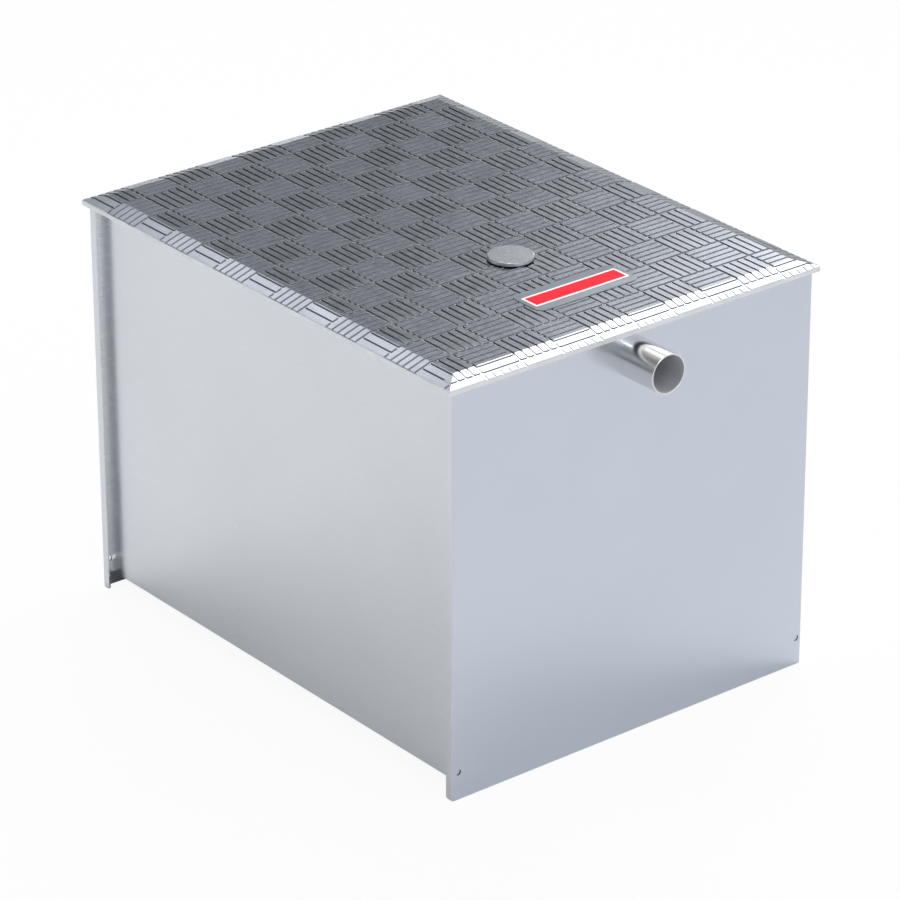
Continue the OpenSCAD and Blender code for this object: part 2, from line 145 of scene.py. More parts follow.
def settle(name):
    """Name the piece just added and put its place into its mesh."""
    piece = bpy.context.object
    piece.name = name
    piece.data.name = name
    bpy.ops.object.transform_apply(location=True, rotation=True, scale=True)
    return piece


def block(name, low, high):
    """A starting block from its lowest to its highest corner."""
    bpy.ops.object.select_all(action="DESELECT")
    middle = (Vector(low) + Vector(high)) / 2
    bpy.ops.mesh.primitive_cube_add(size=1, location=middle, scale=Vector(high) - Vector(low))
    return settle(name)


def flat_sheet(name, middle, size, turn):
    """A flat starting sheet of that size, turned to face its way."""
    bpy.ops.object.select_all(action="DESELECT")
    bpy.ops.mesh.primitive_plane_add(size=1, location=middle, rotation=turn)
    bpy.context.object.scale = (size[0], size[1], 1)
    return settle(name)


def round_bar(name, middle, radius, length, sides, turn=(0, 0, 0), ends="NGON"):
    """A starting round of that radius and length."""
    bpy.ops.object.select_all(action="DESELECT")
    bpy.ops.mesh.primitive_cylinder_add(vertices=sides, radius=radius, depth=length, location=middle,
                                        rotation=turn, end_fill_type=ends)
    return settle(name)


def open_up(piece, kind):
    """Open a piece for editing with nothing selected."""
    take(piece)
    bpy.ops.object.mode_set(mode="EDIT")
    bpy.ops.mesh.select_mode(type=kind)
    bpy.ops.mesh.select_all(action="DESELECT")


def pick_edges(piece, test):
    """Open a piece with the edges selected whose two ends pass the test."""
    open_up(piece, "EDGE")
    bpy.ops.object.mode_set(mode="OBJECT")
    points = piece.data.vertices
    for edge in piece.data.edges:
        edge.select = test(points[edge.vertices[0]].co, points[edge.vertices[1]].co)
    bpy.ops.object.mode_set(mode="EDIT")


def pick_points(piece, test):
    """Open a piece with the points selected that pass the test."""
    open_up(piece, "VERT")
    bpy.ops.object.mode_set(mode="OBJECT")
    for point in piece.data.vertices:
        point.select = test(point.co)
    bpy.ops.object.mode_set(mode="EDIT")


def pick_faces(piece, test):
    """Open a piece with the faces selected whose middle and normal pass the test."""
    open_up(piece, "FACE")
    bpy.ops.object.mode_set(mode="OBJECT")
    for face in piece.data.polygons:
        face.select = test(face.center, face.normal)
    bpy.ops.object.mode_set(mode="EDIT")


def close_up():
    """Leave editing."""
    bpy.ops.object.mode_set(mode="OBJECT")


def move_picked(shift):
    """Move what is selected."""
    bpy.ops.transform.translate(value=shift)


def pull_picked(shift):
    """Extrude what is selected."""
    bpy.ops.mesh.extrude_region_move(TRANSFORM_OT_translate={"value": shift})


def round_picked(radius, steps):
    """Round the selected edges."""
    bpy.ops.mesh.bevel(offset=radius, offset_type="OFFSET", segments=steps, affect="EDGES")


def score(piece, point, direction, drop=False):
    """Cut a piece along a plane, and drop what lies past it where asked."""
    open_up(piece, "VERT")
    bpy.ops.mesh.select_all(action="SELECT")
    bpy.ops.mesh.bisect(plane_co=point, plane_no=direction, use_fill=drop, clear_outer=drop)
    close_up()


def thicken(piece, wall):
    """Give a sheet its thickness, on its inner side."""
    take(piece)
    wall_step = piece.modifiers.new("wall", "SOLIDIFY")
    wall_step.thickness = wall
    wall_step.offset = -1
    wall_step.use_even_offset = True
    bpy.ops.object.modifier_apply(modifier=wall_step.name)


def repeat(piece, count, shift):
    """Repeat a piece in a row."""
    take(piece)
    row = piece.modifiers.new("row", "ARRAY")
    row.count = count
    row.use_relative_offset = False
    row.use_constant_offset = True
    row.constant_offset_displace = shift
    bpy.ops.object.modifier_apply(modifier=row.name)


def pierce(piece, *punches):
    """Cut the punches' shapes out of a piece and put the punches away."""
    for punch in punches:
        take(piece)
        hole = piece.modifiers.new("hole", "BOOLEAN")
        hole.operation = "DIFFERENCE"
        hole.solver = "EXACT"
        hole.object = punch
        bpy.ops.object.modifier_apply(modifier=hole.name)
        bpy.data.objects.remove(punch)


def smooth(piece, degrees):
    """Shade a piece smooth across its gentle edges only."""
    take(piece)
    bpy.ops.object.shade_smooth_by_angle(angle=math.radians(degrees))


def near(a, b):
    """Whether two lengths are the same but for rounding."""
    return abs(a - b) < ALMOST


def dress(piece, slot, body, *replaced):
    """Seat a finished piece on its body and hide the nodes that it stands for; the slot is not used."""
    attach(piece, body)
    if replaced:
        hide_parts(*replaced)


# Finishes

NOISE_LOW, NOISE_HIGH = 0.3, 0.7
CLOUD_DETAIL = 3.0
STREAK_DETAIL = 4.0
PORE_DETAIL = 5.0
COAT_CLOUD = 25.0
RELIEF_DEPTH = 0.0001

# Grain: fine across Z, drawn out along X, or the same all ways
ACROSS = (1, 1, 40)
ALONG = (1, 40, 40)
EVEN = (1, 1, 1)


def new_finish(name):
    """A material with its nodes and its shader."""
    material = bpy.data.materials.new(name)
    material.use_nodes = True
    tree = material.node_tree
    return material, tree, tree.nodes["Principled BSDF"]


def grain(tree, scale, stretch, detail):
    """Noise on the piece's own coordinates, squeezed along each axis by stretch."""
    place = tree.nodes.new("ShaderNodeTexCoord")
    turn = tree.nodes.new("ShaderNodeMapping")
    turn.inputs["Scale"].default_value = stretch
    noise = tree.nodes.new("ShaderNodeTexNoise")
    noise.inputs["Scale"].default_value = scale
    noise.inputs["Detail"].default_value = detail
    tree.links.new(place.outputs["Object"], turn.inputs["Vector"])
    tree.links.new(turn.outputs["Vector"], noise.inputs["Vector"])
    return noise.outputs["Fac"]


def tint(tree, shader, factor, dark, light):
    """Colour that drifts between two tones."""
    ramp = tree.nodes.new("ShaderNodeValToRGB")
    first, last = ramp.color_ramp.elements
    first.position, first.color = NOISE_LOW, (*dark, 1)
    last.position, last.color = NOISE_HIGH, (*light, 1)
    tree.links.new(factor, ramp.inputs["Fac"])
    tree.links.new(ramp.outputs["Color"], shader.inputs["Base Color"])


def roughen(tree, shader, factor, low, high):
    """Roughness that drifts between two values."""
    span = tree.nodes.new("ShaderNodeMapRange")
    span.inputs["From Min"].default_value = NOISE_LOW
    span.inputs["From Max"].default_value = NOISE_HIGH
    span.inputs["To Min"].default_value = low
    span.inputs["To Max"].default_value = high
    tree.links.new(factor, span.inputs["Value"])
    tree.links.new(span.outputs["Result"], shader.inputs["Roughness"])


def relief(tree, shader, factor, strength):
    """Fine unevenness of the surface."""
    bump = tree.nodes.new("ShaderNodeBump")
    bump.inputs["Strength"].default_value = strength
    bump.inputs["Distance"].default_value = RELIEF_DEPTH
    tree.links.new(factor, bump.inputs["Height"])
    tree.links.new(bump.outputs["Normal"], shader.inputs["Normal"])


def metal_finish(name, dark, light, rough, stretch, strength=0.08, cloud=7.0, fine=40.0):
    """Bare metal with clouded tone and a fine grain drawn out along the rolling direction."""
    material, tree, shader = new_finish(name)
    shader.inputs["Metallic"].default_value = 1.0
    tint(tree, shader, grain(tree, cloud, EVEN, CLOUD_DETAIL), dark, light)
    streaks = grain(tree, fine, stretch, STREAK_DETAIL)
    roughen(tree, shader, streaks, *rough)
    relief(tree, shader, streaks, strength)
    return material


def coated_finish(name, dark, light, rough, fine=60.0, strength=0.05, gloss=0.2):
    """Plastic, print or rubber with a little unevenness."""
    material, tree, shader = new_finish(name)
    shader.inputs["Specular IOR Level"].default_value = gloss
    tint(tree, shader, grain(tree, COAT_CLOUD, EVEN, CLOUD_DETAIL), dark, light)
    pores = grain(tree, fine, EVEN, PORE_DETAIL)
    roughen(tree, shader, pores, *rough)
    relief(tree, shader, pores, strength)
    return material


# Each finish has its darker and lighter tone, then its lowest and highest roughness
wrap_steel = metal_finish(
    "satin_wrap_steel", (0.668, 0.692, 0.731), (0.696, 0.720, 0.759), (0.26, 0.275), ACROSS,
    strength=0.001, cloud=5.0)
# Painted shade: the end panels get a darker, bluer copy of the walls' steel, so that their faces come out
# darker than the walls
pan_steel_painted_shade = metal_finish(
    "satin_pan_painted_shade", (0.597, 0.643, 0.719), (0.625, 0.671, 0.747), (0.24, 0.255), ACROSS,
    strength=0.001, cloud=5.0)
pipe_steel = metal_finish(
    "polished_pipe_steel", (0.72, 0.71, 0.69), (0.77, 0.76, 0.74), (0.19, 0.22), ALONG,
    strength=0.005)
bore_steel = metal_finish(
    "dull_bore_steel", (0.71, 0.72, 0.75), (0.75, 0.76, 0.79), (0.74, 0.82), ALONG)
bar_metal = metal_finish(
    "tread_bar_metal", (0.244, 0.260, 0.292), (0.293, 0.311, 0.345), (0.17, 0.21), EVEN,
    strength=0.005, cloud=22.0, fine=160.0)
# Darker, rougher metal for the groove floors and for the bar sides on the flat part: partly a duller
# finish, partly painted shade between the bars
groove_dull_and_painted_shade = metal_finish(
    "tread_groove_dull_and_painted_shade", (0.20, 0.208, 0.22), (0.27, 0.28, 0.295), (0.35, 0.45), EVEN,
    strength=0.2, cloud=40.0, fine=400.0)
# Painted light: near-white steel on the pans' inner faces and the lips' inner sides, lifting the shaded
# strip beside each lip
painted_light_inner = metal_finish(
    "painted_light_inner_steel", (0.92, 0.925, 0.93), (0.95, 0.955, 0.96), (0.24, 0.28), ACROSS,
    strength=0.003, cloud=5.0)
# Painted shade: dark steel on the pans' inner faces below the tank floor, where shade falls under the tank
foot_painted_shade = metal_finish(
    "foot_steel_painted_shade", (0.30, 0.31, 0.33), (0.34, 0.35, 0.37), (0.36, 0.42), ACROSS,
    strength=0.003)
# Painted shade: near-black metal in the bores of the screw holes, where shade falls inside them
hole_painted_shade = metal_finish(
    "screw_hole_painted_shade", (0.03, 0.03, 0.033), (0.05, 0.05, 0.054), (0.5, 0.6), EVEN,
    cloud=30.0, fine=160.0)
# Light rough metal for the lid's outer edge faces, and a painted highlight on the front rim's bar sides and
# on the knob's side
edge_and_painted_highlight = metal_finish(
    "sheared_edge_and_painted_highlight", (0.72, 0.735, 0.76), (0.78, 0.795, 0.82), (0.40, 0.48), EVEN,
    strength=0.02, cloud=30.0, fine=160.0)
knob_metal = metal_finish(
    "turned_knob_metal", (0.336, 0.354, 0.382), (0.366, 0.384, 0.412), (0.20, 0.22), EVEN,
    strength=0.0005, cloud=30.0, fine=160.0)
hardware_steel = metal_finish(
    "hardware_steel", (0.58, 0.59, 0.61), (0.66, 0.67, 0.69), (0.28, 0.38), ACROSS)
basket_steel = metal_finish(
    "basket_sheet_steel", (0.58, 0.60, 0.63), (0.64, 0.66, 0.69), (0.26, 0.34), ACROSS)
seal_rubber = coated_finish(
    "black_seal_rubber", (0.018, 0.018, 0.019), (0.03, 0.03, 0.032), (0.6, 0.8),
    fine=300.0, strength=0.2)
film_plastic = coated_finish(
    "label_margin_film", (0.19, 0.22, 0.25), (0.23, 0.26, 0.29), (0.30, 0.36))
border_print = coated_finish(
    "label_border_print", (0.83, 0.83, 0.84), (0.88, 0.88, 0.89), (0.38, 0.44))
red_print = coated_finish(
    "label_red_print", (0.90, 0.012, 0.028), (0.96, 0.018, 0.038), (0.38, 0.44),
    gloss=0.04)


def paint(piece, *finishes):
    """Give a piece its finishes, the first one all over."""
    piece.data.materials.clear()
    for finish in finishes:
        piece.data.materials.append(finish)


def paint_faces(piece, finish, test):
    """Give the faces that pass the test another of the piece's finishes."""
    index = list(piece.data.materials).index(finish)
    for face in piece.data.polygons:
        if test(face.center, face.normal):
            face.material_index = index


# Tank

wrap_low, wrap_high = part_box("tank_wrap")
INNER_Y = wrap_high.y - SHEET


def end_pan(name, node, side, stub):
    """One end panel: a sheet with its side lips and its seat folded back, pierced for pipe and screws."""
    low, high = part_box(node)
    stub_low, stub_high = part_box(stub)
    face_x = side * max(abs(low.x), abs(high.x))
    half_w = high.y
    seat_y = INNER_Y - WELD_GAP

    def on_lip(a, b):
        return near(abs(a.y), half_w) and near(a.y, b.y)

    def on_seat(a, b):
        return near(a.z, high.z) and near(b.z, high.z) and abs(a.y) + abs(b.y) < 2 * seat_y + ALMOST

    def on_fold(a, b):
        return near(a.x, face_x) and near(b.x, face_x) and (on_lip(a, b) or on_seat(a, b))

    def at_foot_corner(p):
        return near(abs(p.y), half_w) and near(p.z, 0) and near(p.x, face_x - side * LIP_DEPTH)

    def from_screw(p):
        return math.hypot(abs(p.y) - half_w + FOOT_HOLE_INSET, p.z - FOOT_HOLE_Z)

    pan = flat_sheet(name, (face_x, 0, high.z / 2), (high.z, 2 * half_w), (0, side * math.pi / 2, 0))
    for y in (-seat_y, seat_y):
        score(pan, (0, y, 0), (0, 1, 0))
    pick_edges(pan, on_lip)
    pull_picked((-side * LIP_DEPTH, 0, 0))
    pick_edges(pan, on_seat)
    pull_picked((-side * SEAT_W, 0, 0))
    pick_edges(pan, on_fold)
    round_picked(FOLD_R, FOLD_STEPS)
    pick_points(pan, at_foot_corner)
    bpy.ops.mesh.bevel(offset=LIP_CORNER_R, segments=LIP_CORNER_STEPS, affect="VERTICES")
    close_up()
    thicken(pan, SHEET)
    pipe_z = (stub_high.z + stub_low.z) / 2
    hole_r = (stub_high.y - stub_low.y) / 2 - PIPE_WALL + PIPE_HOLE_PLAY
    punches = [round_bar("pipe_punch", (face_x, 0, pipe_z), hole_r,
                         PUNCH_LENGTH, PIPE_HOLE_SIDES, LAID_ALONG)]
    for y in (-half_w + FOOT_HOLE_INSET, half_w - FOOT_HOLE_INSET):
        punches.append(round_bar("screw_punch", (face_x, y, FOOT_HOLE_Z), FOOT_HOLE_R,
                                 PUNCH_LENGTH, FOOT_HOLE_SIDES, LAID_ALONG))
    pierce(pan, *punches)
    # Cut at the tank floor's height, where the painted shade on the feet begins
    score(pan, (0, 0, wrap_low.z), (0, 0, 1))
    smooth(pan, SHEET_SHADING)
    paint(pan, pan_steel_painted_shade, wrap_steel, painted_light_inner, foot_painted_shade, hole_painted_shade)
    paint_faces(pan, wrap_steel, lambda centre, normal: abs(normal.y) > MOSTLY
                and abs(centre.y) > half_w - SHEET / 2)
    # The pans' inner faces and the lips' inner sides get the near-white painted light
    paint_faces(pan, painted_light_inner, lambda centre, normal: normal.x * side < -MOSTLY
                or normal.y * centre.y < 0 and abs(normal.y) > MOSTLY)
    # Painted shade on the inner faces of the feet below the tank floor
    paint_faces(pan, foot_painted_shade, lambda centre, normal: normal.x * side < -MOSTLY and centre.z < wrap_low.z)
    # Painted shade in the bores of the screw holes
    paint_faces(pan, hole_painted_shade, lambda centre, normal: abs(normal.x) < EDGE_ON
                and from_screw(centre) < FOOT_HOLE_R + ALMOST)
    dress(pan, "tank_steel", "tank", node)


def wrap_sheet():
    """Floor and both side walls in one sheet, folded up and folded in again as the seat."""
    low, high = wrap_low, wrap_high
    _, pan_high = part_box("inlet_end_panel")
    seat_x = pan_high.x - SEAT_W - WELD_GAP

    def on_wall(a, b):
        return near(abs(a.y), high.y) and near(a.y, b.y)

    def on_floor(a, b):
        return near(a.z, low.z) and near(b.z, low.z)

    def on_seat(a, b):
        return near(a.z, high.z) and near(b.z, high.z) and abs(a.x) + abs(b.x) < 2 * seat_x + ALMOST

    wrap = flat_sheet("side_wrap", (0, 0, low.z), (2 * high.x, 2 * high.y), (math.pi, 0, 0))
    for x in (-seat_x, seat_x):
        score(wrap, (x, 0, 0), (1, 0, 0))
    pick_edges(wrap, on_wall)
    pull_picked((0, 0, high.z - low.z))
    for side in (-1, 1):
        pick_edges(wrap, lambda a, b: on_seat(a, b) and near(a.y, side * high.y))
        pull_picked((0, -side * SEAT_W, 0))
    pick_edges(wrap, lambda a, b: on_wall(a, b) and (on_floor(a, b) or on_seat(a, b)))
    round_picked(FOLD_R, FOLD_STEPS)
    close_up()
    thicken(wrap, SHEET)
    smooth(wrap, SHEET_SHADING)
    paint(wrap, wrap_steel)
    dress(wrap, "tank_steel", "tank", "tank_wrap")


def pipe_spout(name, node, side):
    """A plain stub of polished tube with a broken edge at its mouth and a dull bore."""
    low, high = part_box(node)
    mouth_x = side * max(abs(low.x), abs(high.x))
    radius = (high.y - low.y) / 2
    axis_z = (low.z + high.z) / 2

    def from_axis(p):
        return math.hypot(p.y, p.z - axis_z)

    def on_mouth(a, b):
        return near(a.x, mouth_x) and near(b.x, mouth_x) and near(from_axis(a), from_axis(b))

    spout = round_bar(name, ((low.x + high.x) / 2, 0, axis_z), radius, high.x - low.x,
                      PIPE_SIDES, LAID_ALONG, "NOTHING")
    thicken(spout, PIPE_WALL)
    pick_edges(spout, on_mouth)
    round_picked(MOUTH_EDGE, MOUTH_STEPS)
    close_up()
    smooth(spout, SHEET_SHADING)
    paint(spout, pipe_steel, bore_steel)
    paint_faces(spout, bore_steel, lambda centre, normal:
                normal.y * centre.y + normal.z * (centre.z - axis_z) < -radius / 2)
    dress(spout, "pipe_steel", "tank", node)


end_pan("inlet_pan", "inlet_end_panel", 1, "inlet_stub")
end_pan("outlet_pan", "outlet_end_panel", -1, "outlet_stub")
wrap_sheet()
pipe_spout("inlet_spout", "inlet_stub", 1)
pipe_spout("outlet_spout", "outlet_stub", -1)

# Lid

_, lid_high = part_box("lid_plate")
HALF_L, HALF_W = lid_high.x, lid_high.y
TREAD_TOP = lid_high.z
LID_TOP = TREAD_TOP - BAR_H
FOLD_X, FOLD_Y = HALF_L - RIM_W, HALF_W - RIM_W
knob_low, knob_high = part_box("lid_knob")
KNOB_X = (knob_low.x + knob_high.x) / 2


def hipped_sheet():
    """The lid's sheet: one plate with all four edges sloped down, mitred and turned down once more."""

    def on_edge(a, b):
        return near(abs(a.x), HALF_L) and near(a.x, b.x) or near(abs(a.y), HALF_W) and near(a.y, b.y)

    sheet = flat_sheet("lid_sheet", (0, 0, LID_TOP), (2 * HALF_L, 2 * HALF_W), (0, 0, 0))
    pick_faces(sheet, lambda middle, normal: True)
    bpy.ops.mesh.inset(thickness=RIM_W, depth=0)
    pick_points(sheet, lambda p: near(abs(p.x), HALF_L) or near(abs(p.y), HALF_W))
    move_picked((0, 0, -RIM_DROP))
    pick_edges(sheet, on_edge)
    pull_picked((0, 0, -SKIRT_H))
    pick_edges(sheet, lambda a, b: abs(a.x) < FOLD_X + ALMOST and abs(b.x) < FOLD_X + ALMOST)
    round_picked(LID_FOLD_R, LID_FOLD_STEPS)
    close_up()
    thicken(sheet, LID_SHEET)
    return sheet


def tread_bar(name, length, width):
    """One tread bar at the lid's middle: round ends and sloped upper sides."""
    bar = block(name, (-length / 2, -width / 2, LID_TOP - BAR_SINK), (length / 2, width / 2, TREAD_TOP))
    pick_edges(bar, lambda a, b: near(a.x, b.x) and near(a.y, b.y))
    round_picked(BAR_END_R, BAR_END_STEPS)
    pick_edges(bar, lambda a, b: near(a.z, TREAD_TOP) and near(b.z, TREAD_TOP))
    round_picked(BAR_SLOPE, BAR_SLOPE_STEPS)
    close_up()
    return bar


def bar_field(name, column, row, along):
    """All cells of one direction that start at this column and row, every second one both ways."""
    run, across = (CELL_X, CELL_Y) if along else (CELL_Y, CELL_X)
    pitch = across / BARS_IN_CELL
    size = (run - BAR_END_GAP, pitch - BAR_GAP)
    bar = tread_bar(name, *(size if along else size[::-1]))
    first = -across / 2 + pitch / 2
    shift = Vector((SEAM_X + (column + 0.5) * CELL_X, (row + 0.5) * CELL_Y, 0))
    shift += Vector((0, first, 0)) if along else Vector((first, 0, 0))
    pick_faces(bar, lambda middle, normal: True)
    move_picked(shift)
    close_up()
    repeat(bar, BARS_IN_CELL, (0, pitch, 0) if along else (pitch, 0, 0))
    repeat(bar, COLUMNS, (2 * CELL_X, 0, 0))
    repeat(bar, ROWS, (0, 2 * CELL_Y, 0))
    return bar


def tread_bars():
    """The whole draughtboard of bars, trimmed at the lid's edges and bent down with its rims."""
    fields = []
    for column in (FIRST_COLUMN, FIRST_COLUMN + 1):
        for row in (FIRST_ROW, FIRST_ROW + 1):
            fields.append(bar_field("tread_bars", column, row, (column + row) % 2 == 0))
    take(*fields)
    bpy.ops.object.join()
    bars = bpy.context.object
    for way in (-1, 1):
        score(bars, (way * (HALF_L - TRIM_STEP), 0, 0), (way, 0, 0), drop=True)
        score(bars, (0, way * (HALF_W - TRIM_STEP), 0), (0, way, 0), drop=True)
    for way in (-1, 1):
        score(bars, (way * FOLD_X, 0, 0), (1, 0, 0))
        score(bars, (0, way * FOLD_Y, 0), (0, 1, 0))
    for way_x in (-1, 1):
        for way_y in (-1, 1):
            pick_faces(bars, lambda middle, normal: middle.x * way_x > FOLD_X and middle.y * way_y > FOLD_Y)
            bpy.ops.mesh.bisect(plane_co=(way_x * FOLD_X, way_y * FOLD_Y, 0), plane_no=(way_x, -way_y, 0))
            close_up()
    slope = RIM_DROP / RIM_W
    for point in bars.data.vertices:
        point.co.z -= slope * max(abs(point.co.x) - FOLD_X, abs(point.co.y) - FOLD_Y, 0)
    return bars


def tread_lid():
    """Tread plate with its folded rims, drilled for the knob's stud."""
    sheet = hipped_sheet()
    bars = tread_bars()
    for part in (sheet, bars):
        drill = round_bar("stud_drill", (KNOB_X, 0, LID_TOP), STUD_R + STUD_CLEAR,
                          STUD_DRILL_LENGTH, STUD_HOLE_SIDES)
        pierce(part, drill)
        paint(part, bar_metal, groove_dull_and_painted_shade, edge_and_painted_highlight)
    # Groove floors and, on the flat part only, the bar sides: painted shade between the bars
    paint_faces(sheet, groove_dull_and_painted_shade, lambda middle, normal: normal.z > DEAD_ON)
    paint_faces(bars, groove_dull_and_painted_shade, lambda middle, normal: abs(normal.z) < STEEP and middle.x < FOLD_X)
    for part in (sheet, bars):
        paint_faces(part, edge_and_painted_highlight, lambda middle, normal: abs(normal.z) < HALFWAY
                    and (abs(middle.x) > HALF_L - EDGE_BAND or abs(middle.y) > HALF_W - EDGE_BAND))
    # Painted highlight: the front rim's bar sides and the faces near its edge get the light edge metal
    paint_faces(bars, edge_and_painted_highlight, lambda middle, normal: middle.x > FOLD_X and normal.z < FACING
                and (abs(normal.y) > HALFWAY or middle.x > HALF_L - FRONT_HIGHLIGHT_BAND))
    take(sheet, bars)
    bpy.ops.object.join()
    lid = bpy.context.object
    lid.name = "tread_lid"
    lid.data.name = "tread_lid"
    smooth(lid, TREAD_SHADING)
    dress(lid, "tread_plate", "tank", "lid_plate")


def knob_disc():
    """Flat round knob with a rounded upper edge and a blind seat for its stud."""
    radius = (knob_high.x - knob_low.x) / 2
    middle = (KNOB_X, 0, (knob_low.z + knob_high.z) / 2)
    knob = round_bar("knob_disc", middle, radius, knob_high.z - knob_low.z, KNOB_SIDES)
    pick_edges(knob, lambda a, b: near(a.z, knob_high.z) and near(b.z, knob_high.z))
    round_picked(KNOB_EDGE_R, KNOB_EDGE_STEPS)
    pick_faces(knob, lambda centre, normal: normal.z < -FACING)
    bpy.ops.mesh.inset(thickness=radius - STUD_R, depth=0)
    pull_picked((0, 0, STUD_SEAT))
    close_up()
    smooth(knob, SHEET_SHADING)
    paint(knob, knob_metal, edge_and_painted_highlight)
    # Painted highlight: the knob's side gets the light edge metal
    paint_faces(knob, edge_and_painted_highlight, lambda centre, normal: abs(normal.z) < EDGE_ON)
    dress(knob, "knob_finish", "knob", "lid_knob")


def label_film():
    """A pale film with round corners, under the label."""
    low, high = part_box("label_backing")
    film = block("label_film", low, high)
    pick_edges(film, lambda a, b: near(a.x, b.x) and near(a.y, b.y))
    round_picked(FILM_CORNER_R, FILM_CORNER_STEPS)
    pick_edges(film, lambda a, b: near(a.z, high.z) and near(b.z, high.z))
    round_picked(FILM_EDGE, FILM_EDGE_STEPS)
    close_up()
    smooth(film, LABEL_SHADING)
    paint(film, film_plastic)
    dress(film, "label_margin", "tank", "label_backing")


def label_print():
    """A red label in a white border."""
    low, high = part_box("label_face")
    label = block("label_print", low, high)
    pick_faces(label, lambda centre, normal: normal.z > FACING)
    bpy.ops.mesh.inset(thickness=LABEL_BORDER, depth=0)
    pick_edges(label, lambda a, b: near(a.x, b.x) and near(a.y, b.y))
    round_picked(LABEL_CORNER_R, LABEL_CORNER_STEPS)
    close_up()
    smooth(label, LABEL_SHADING)
    paint(label, border_print, red_print)
    field_x = (high.x - low.x) / 2 - LABEL_BORDER
    field_y = (high.y - low.y) / 2 - LABEL_BORDER
    middle = (low + high) / 2
    paint_faces(label, red_print, lambda centre, normal: normal.z > FACING
                and abs(centre.x - middle.x) < field_x / 2 and abs(centre.y - middle.y) < field_y / 2)
    dress(label, "label_print", "tank", "label_face")


tread_lid()
knob_disc()
label_film()
label_print()

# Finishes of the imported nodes, also of those that a new piece stands for

NODE_FINISHES = {
    "lid_gasket": seal_rubber,
    "knob_washer": seal_rubber,
    "knob_stud": hardware_steel,
    "stud_clip": hardware_steel,
    "clamp_bar": hardware_steel,
    "clamp_nut": hardware_steel,
    "bar_brackets": hardware_steel,
    "basket_rails": hardware_steel,
    "baffle_guides": hardware_steel,
    "basket_bail": hardware_steel,
    "bail_ears": hardware_steel,
    "basket_body": basket_steel,
    "basket_floor": basket_steel,
    "underflow_baffle": wrap_steel,
    "overflow_weir": wrap_steel,
    "outlet_hood": pan_steel_painted_shade,
    "inlet_end_panel": pan_steel_painted_shade,
    "outlet_end_panel": pan_steel_painted_shade,
    "tank_wrap": wrap_steel,
    "inlet_stub": pipe_steel,
    "outlet_stub": pipe_steel,
    "lid_plate": bar_metal,
    "lid_knob": knob_metal,
    "label_backing": film_plastic,
    "label_face": red_print,
}
for name, finish in NODE_FINISHES.items():
    for slot in nodes[name].material_slots:
        slot.material = finish

# Studio

FLOOR_HALF = 15.0
FLOOR_PAINT = (0.8, 0.8, 0.8, 1)
FLOOR_SEEN = 0.93
FLOOR_MIRRORED = 0.08
FLOOR_RAYS = (
    ("Is Camera Ray", FLOOR_SEEN),
    ("Is Transmission Ray", FLOOR_SEEN),
    ("Is Glossy Ray", FLOOR_MIRRORED),
)


def studio_floor():
    """A pale floor that keeps a soft shadow."""
    bpy.ops.object.select_all(action="DESELECT")
    bpy.ops.mesh.primitive_plane_add(size=2 * FLOOR_HALF, location=(0, 0, 0))
    floor = settle("studio_floor")
    material = bpy.data.materials.new("pale_floor")
    material.use_nodes = True
    tree = material.node_tree
    tree.nodes.clear()
    paint_lit = tree.nodes.new("ShaderNodeBsdfDiffuse")
    paint_lit.inputs["Color"].default_value = FLOOR_PAINT
    glow = tree.nodes.new("ShaderNodeEmission")
    glow.inputs["Color"].default_value = (1, 1, 1, 1)
    glow.inputs["Strength"].default_value = 1.0
    rays = tree.nodes.new("ShaderNodeLightPath")
    share = None
    for ray, weight in FLOOR_RAYS:
        part = tree.nodes.new("ShaderNodeMath")
        part.operation = "MULTIPLY_ADD"
        part.inputs[1].default_value = weight
        part.inputs[2].default_value = 0.0
        tree.links.new(rays.outputs[ray], part.inputs[0])
        if share:
            tree.links.new(share, part.inputs[2])
        share = part.outputs[0]
    mix = tree.nodes.new("ShaderNodeMixShader")
    out = tree.nodes.new("ShaderNodeOutputMaterial")
    tree.links.new(share, mix.inputs["Fac"])
    tree.links.new(paint_lit.outputs["BSDF"], mix.inputs[1])
    tree.links.new(glow.outputs["Emission"], mix.inputs[2])
    tree.links.new(mix.outputs["Shader"], out.inputs["Surface"])
    paint(floor, material)


# The room's tones in rings, from the far side of its bright way, 0, to that way itself, 1
ROOM_BRIGHT_WAY = (0.30, 0.75, 0.59)
ROOM_TONES = (
    (0.18, (0.55, 0.555, 0.565)),
    (0.29, (0.42, 0.425, 0.435)),
    (0.345, (0.07, 0.072, 0.076)),
    (0.43, (0.07, 0.072, 0.076)),
    (0.51, (0.28, 0.285, 0.295)),
    (0.58, (0.18, 0.185, 0.195)),
    (0.66, (0.80, 0.82, 0.85)),
    (0.71, (0.24, 0.245, 0.255)),
    (0.74, (0.08, 0.082, 0.086)),
    (0.77, (6.80, 6.82, 6.85)),
    (0.81, (0.10, 0.102, 0.106)),
    (0.86, (1.17, 1.175, 1.18)),
    (0.96, (0.85, 0.86, 0.88)),
)


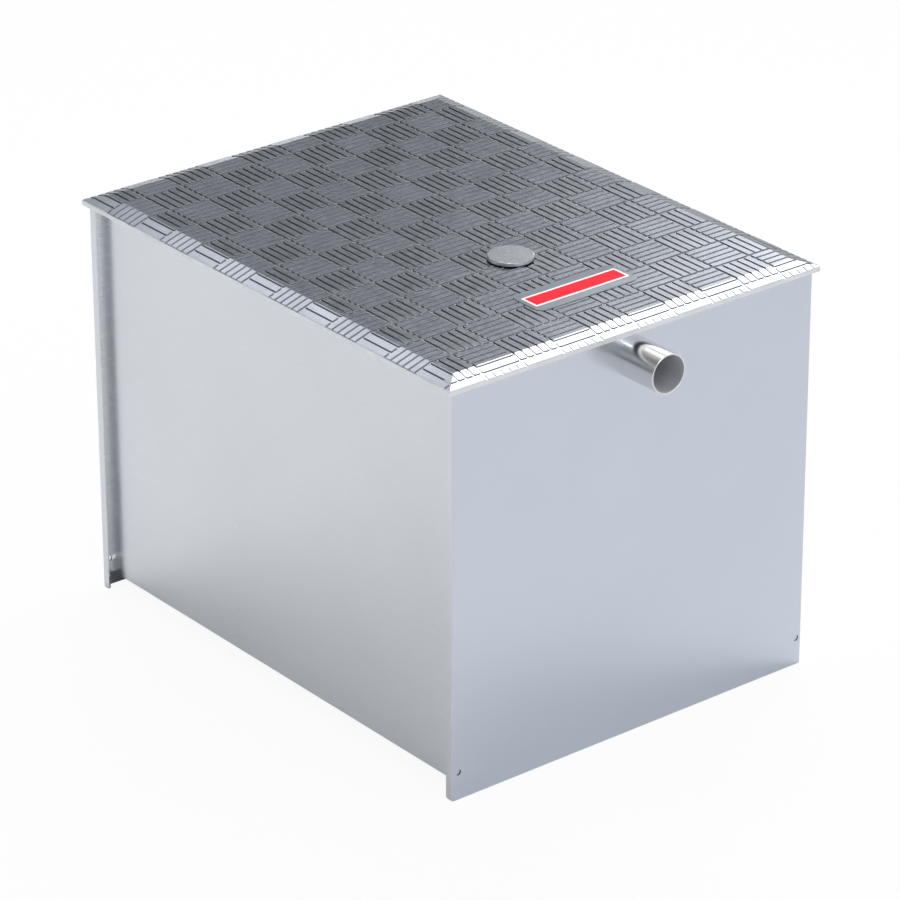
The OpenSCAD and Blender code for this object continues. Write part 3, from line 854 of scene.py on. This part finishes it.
def studio_room():
    """A grey room with dim rings and one narrow bright ring around its bright way."""
    world = bpy.data.worlds.new("studio_room")
    bpy.context.scene.world = world
    world.use_nodes = True
    tree = world.node_tree
    place = tree.nodes.new("ShaderNodeTexCoord")
    facing = tree.nodes.new("ShaderNodeVectorMath")
    facing.operation = "DOT_PRODUCT"
    facing.inputs[1].default_value = ROOM_BRIGHT_WAY
    share = tree.nodes.new("ShaderNodeMapRange")
    share.inputs["From Min"].default_value = -1.0
    ramp = tree.nodes.new("ShaderNodeValToRGB")
    steps = ramp.color_ramp.elements
    while len(steps) < len(ROOM_TONES):
        steps.new(1.0)
    for step, (height, tone) in zip(steps, ROOM_TONES):
        step.position = height
        step.color = (*tone, 1)
    tree.links.new(place.outputs["Generated"], facing.inputs[0])
    tree.links.new(facing.outputs["Value"], share.inputs["Value"])
    tree.links.new(share.outputs["Result"], ramp.inputs["Fac"])
    tree.links.new(ramp.outputs["Color"], tree.nodes["Background"].inputs["Color"])


# Azimuth and elevation in degrees, distance, width, height and radiance
SOFTBOXES = {
    "back_softbox": (109.5, 48.5, 2.02, 0.6, 0.8, 6.5),
    "rear_softbox": (172, 42.5, 2.1, 1.2, 0.5, 1.6),
    "top_softbox": (142, 66, 2.6, 1.7, 1.6, 0.42),
    "left_softbox": (-120, 44, 2.8, 0.95, 0.95, 3.2),
    "front_softbox": (-45, 17, 4.2, 2.6, 1.3, 0.5),
}


def softbox(name, azimuth, elevation, distance, width, height, radiance):
    """A rectangular soft light that faces the lid's middle."""
    a, e = math.radians(azimuth), math.radians(elevation)
    away = Vector((math.cos(a) * math.cos(e), math.sin(a) * math.cos(e), math.sin(e)))
    lamp = bpy.data.lights.new(name, "AREA")
    lamp.shape = "RECTANGLE"
    lamp.size = width
    lamp.size_y = height
    lamp.energy = radiance * math.pi * width * height
    holder = bpy.data.objects.new(name, lamp)
    holder.location = Vector((0, 0, LID_TOP)) + distance * away
    holder.rotation_euler = away.to_track_quat("Z", "Y").to_euler()
    holder.visible_camera = False
    bpy.context.scene.collection.objects.link(holder)


CAMERA_PLACE = (3.09196, -2.46606, 2.07493)
CAMERA_AZIMUTH = 51.365
CAMERA_ELEVATION = 25.577
CAMERA_ROLL = 0.1846
CAMERA_LENS = 188.33
CAMERA_SENSOR = 36.0


def photo_camera():
    """The camera at the photograph's viewing angle."""
    lens = bpy.data.cameras.new("photo_camera")
    lens.lens = CAMERA_LENS
    lens.sensor_width = CAMERA_SENSOR
    holder = bpy.data.objects.new("photo_camera", lens)
    turn = Matrix.Rotation(math.radians(CAMERA_AZIMUTH), 3, "Z")
    tilt = Matrix.Rotation(math.radians(90 - CAMERA_ELEVATION), 3, "X")
    roll = Matrix.Rotation(math.radians(-CAMERA_ROLL), 3, "Z")
    holder.location = CAMERA_PLACE
    holder.rotation_euler = (turn @ tilt @ roll).to_euler()
    bpy.context.scene.collection.objects.link(holder)
    bpy.context.scene.camera = holder


studio_floor()
studio_room()
for name, setting in SOFTBOXES.items():
    softbox(name, *setting)
photo_camera()
bpy.context.scene.view_settings.view_transform = "Standard"
